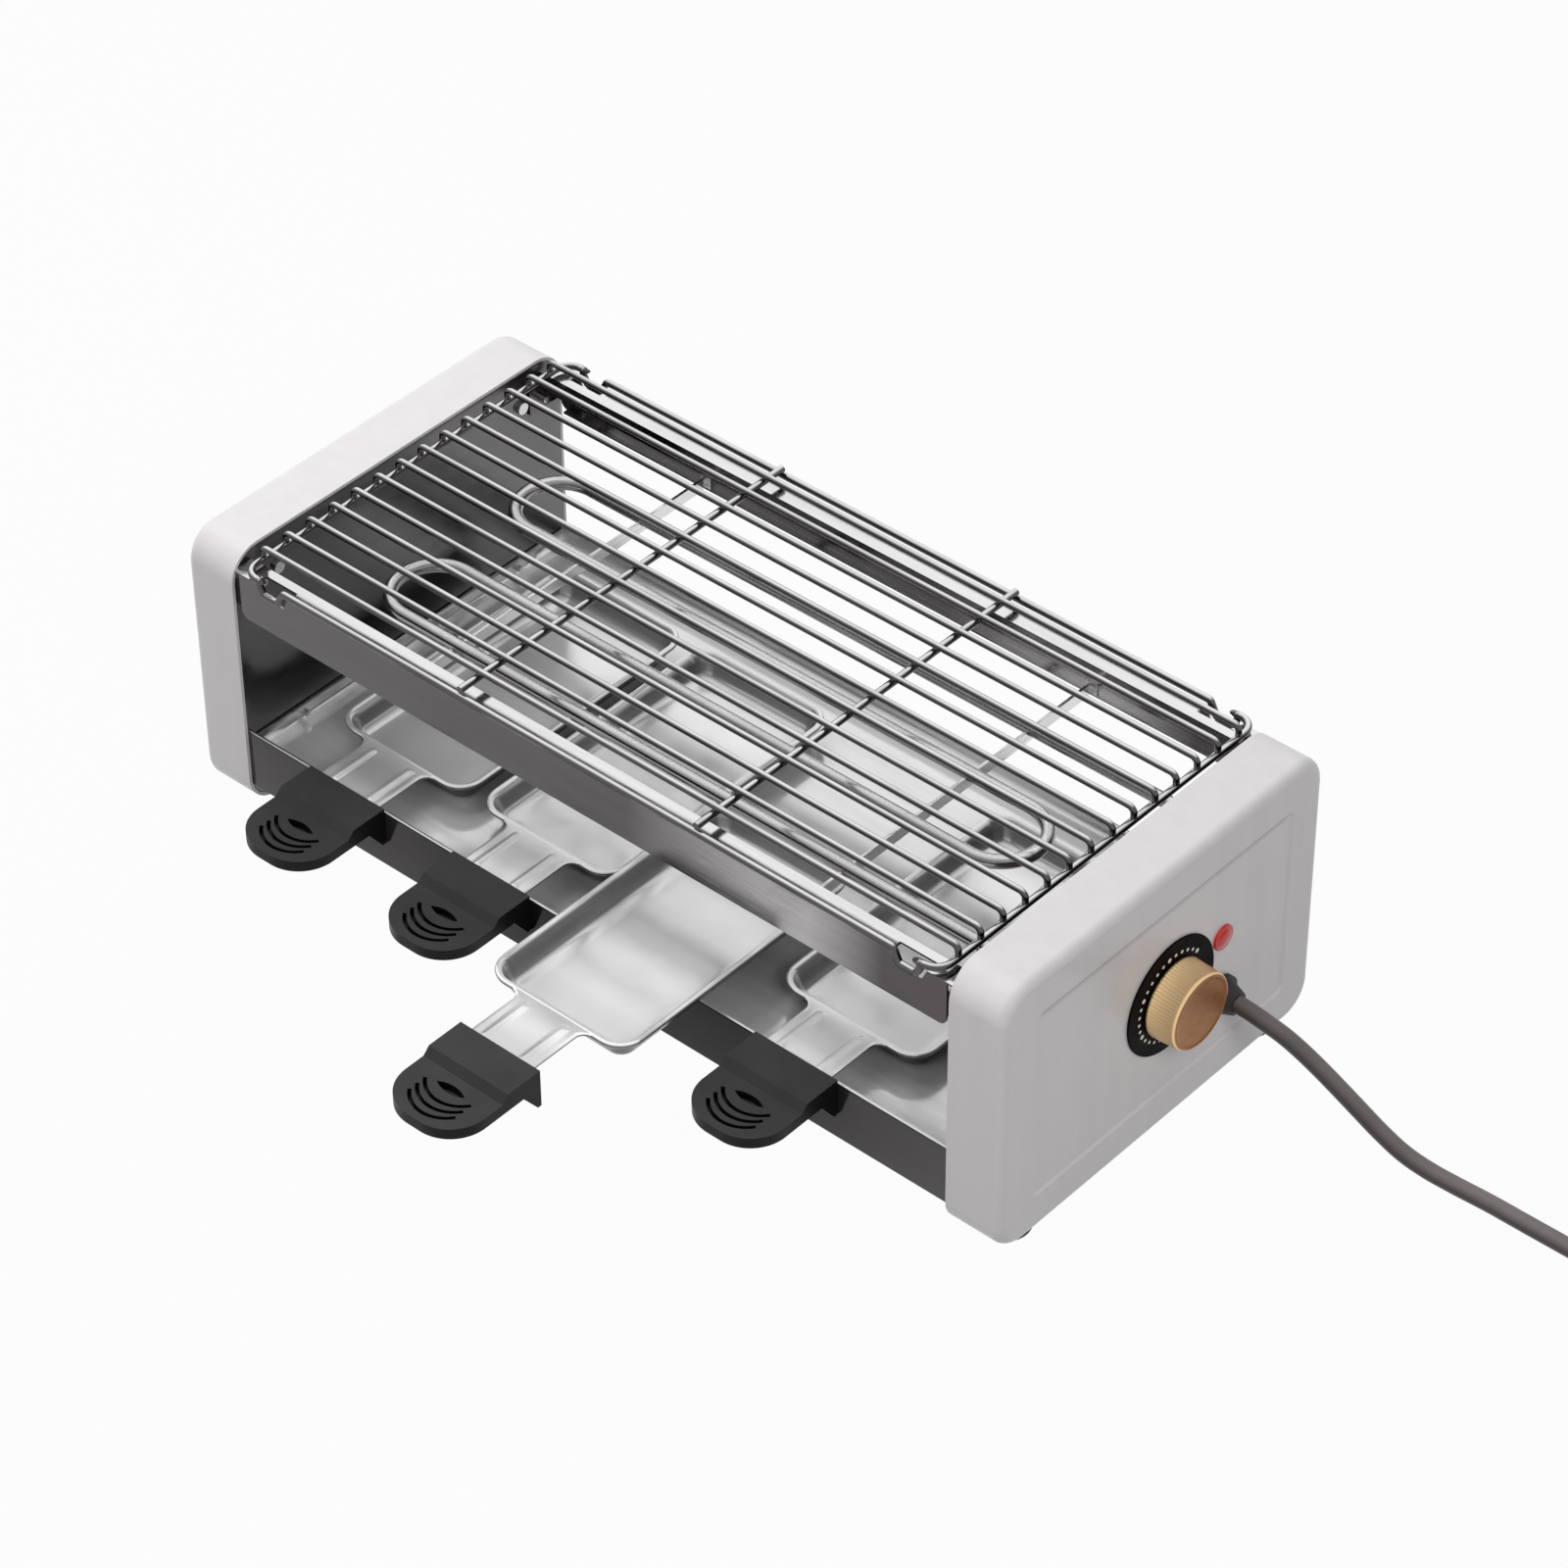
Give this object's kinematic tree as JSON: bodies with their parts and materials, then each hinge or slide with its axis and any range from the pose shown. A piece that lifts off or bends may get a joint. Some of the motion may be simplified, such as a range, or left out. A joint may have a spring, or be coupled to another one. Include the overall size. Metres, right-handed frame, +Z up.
{
  "type": "electric table roaster",
  "caption": "Electric table roaster: a wire grill over a folded heating tube, small pans that pull out at the front, painted end caps, a thermostat knob and a mains cord.",
  "frame": {"origin": "on the table, under the middle of the object's box without its free cord and plug", "axes": "+X towards the end cap with the knob, +Y away from the pans' handles, +Z up"},
  "size_m": [0.7321, 0.4223, 0.1509],
  "materials": {
    "cap_paint": "satin off-white paint",
    "polished_steel": "polished stainless",
    "wire_steel": "bright plated wire",
    "tube_steel": "matt grey heating tube",
    "screw_steel": "zinc plated",
    "black_plastic": "matt moulded",
    "black_rubber": "matt rubber",
    "dial_black": "gloss black print",
    "knob_gold": "brushed gold tone",
    "shaft_steel": "turned",
    "brass": "plain brass",
    "copper": "drawn copper",
    "ceramic": "cream ceramic",
    "lamp_red": "clear red",
    "lamp_body": "white moulded",
    "wire_cover": "brown silicone",
    "cord_pvc": "satin dark grey",
    "tie_black": "matt strap",
    "pin_nickel": "nickel plated"
  },
  "bodies": {
    "housing": {"left_end_cap": "cap_paint", "right_end_cap": "cap_paint", "left_inner_plate": "polished_steel", "right_inner_plate": "polished_steel", "front_rail": "polished_steel", "back_rail": "polished_steel", "base_tray": "polished_steel", "foot_front_left": "black_rubber", "foot_front_right": "black_rubber", "foot_back_left": "black_rubber", "foot_back_right": "black_rubber", "foot_screws": "screw_steel", "cap_screws": "screw_steel", "rail_screws": "screw_steel", "tray_screws": "screw_steel", "heating_tube": "tube_steel", "tube_insulators": "ceramic", "tube_pins": "brass", "left_tube_support": "wire_steel", "right_tube_support": "wire_steel", "dial_ring": "dial_black", "thermostat": "ceramic", "thermostat_nut": "brass", "sensor_bulb": "copper", "sensor_clip": "screw_steel", "capillary": "copper", "pilot_lens": "lamp_red", "pilot_lamp": "lamp_body", "terminal_block": "ceramic", "terminal_screws": "brass", "inner_wires": "wire_cover", "cord_gland": "black_rubber", "cord_lead": "cord_pvc", "cord_coil": "cord_pvc", "cord_tail": "cord_pvc", "cord_tie": "tie_black", "plug": "cord_pvc", "plug_pins": "pin_nickel"},
    "grill": {"grill_ring": "wire_steel", "grill_bars": "wire_steel", "grill_cross_rods": "wire_steel"},
    "control": {"knob": "knob_gold", "knob_shaft": "shaft_steel"},
    "pan_unit_1": {"pan_1": "polished_steel", "pan_handle_1": "black_plastic", "pan_screw_1": "screw_steel"},
    "pan_unit_2": {"pan_2": "polished_steel", "pan_handle_2": "black_plastic", "pan_screw_2": "screw_steel"},
    "pan_unit_3": {"pan_3": "polished_steel", "pan_handle_3": "black_plastic", "pan_screw_3": "screw_steel"},
    "pan_unit_4": {"pan_4": "polished_steel", "pan_handle_4": "black_plastic", "pan_screw_4": "screw_steel"}
  },
  "joints": [
    {"name": "grill_lift", "type": "slide", "parent": "housing", "child": "grill", "axis": [0, 0, 1], "range_m": [0, 0.12]},
    {"name": "knob_turn", "type": "hinge", "parent": "housing", "child": "control", "pos_m": [0.2349, 0.07315, 0.0775], "axis": [-1, 0, 0], "range_deg": [0, 270]},
    {"name": "pan_1_pull", "type": "slide", "parent": "housing", "child": "pan_unit_1", "axis": [0, -0.9397, 0.342], "range_m": [0, 0.15]},
    {"name": "pan_2_pull", "type": "slide", "parent": "housing", "child": "pan_unit_2", "axis": [0, -0.9397, 0.342], "range_m": [0, 0.15]},
    {"name": "pan_3_pull", "type": "slide", "parent": "housing", "child": "pan_unit_3", "axis": [0, -1, 0], "range_m": [-0.086, 0.06]},
    {"name": "pan_4_pull", "type": "slide", "parent": "housing", "child": "pan_unit_4", "axis": [0, -0.9397, 0.342], "range_m": [0, 0.15]}
  ]
}
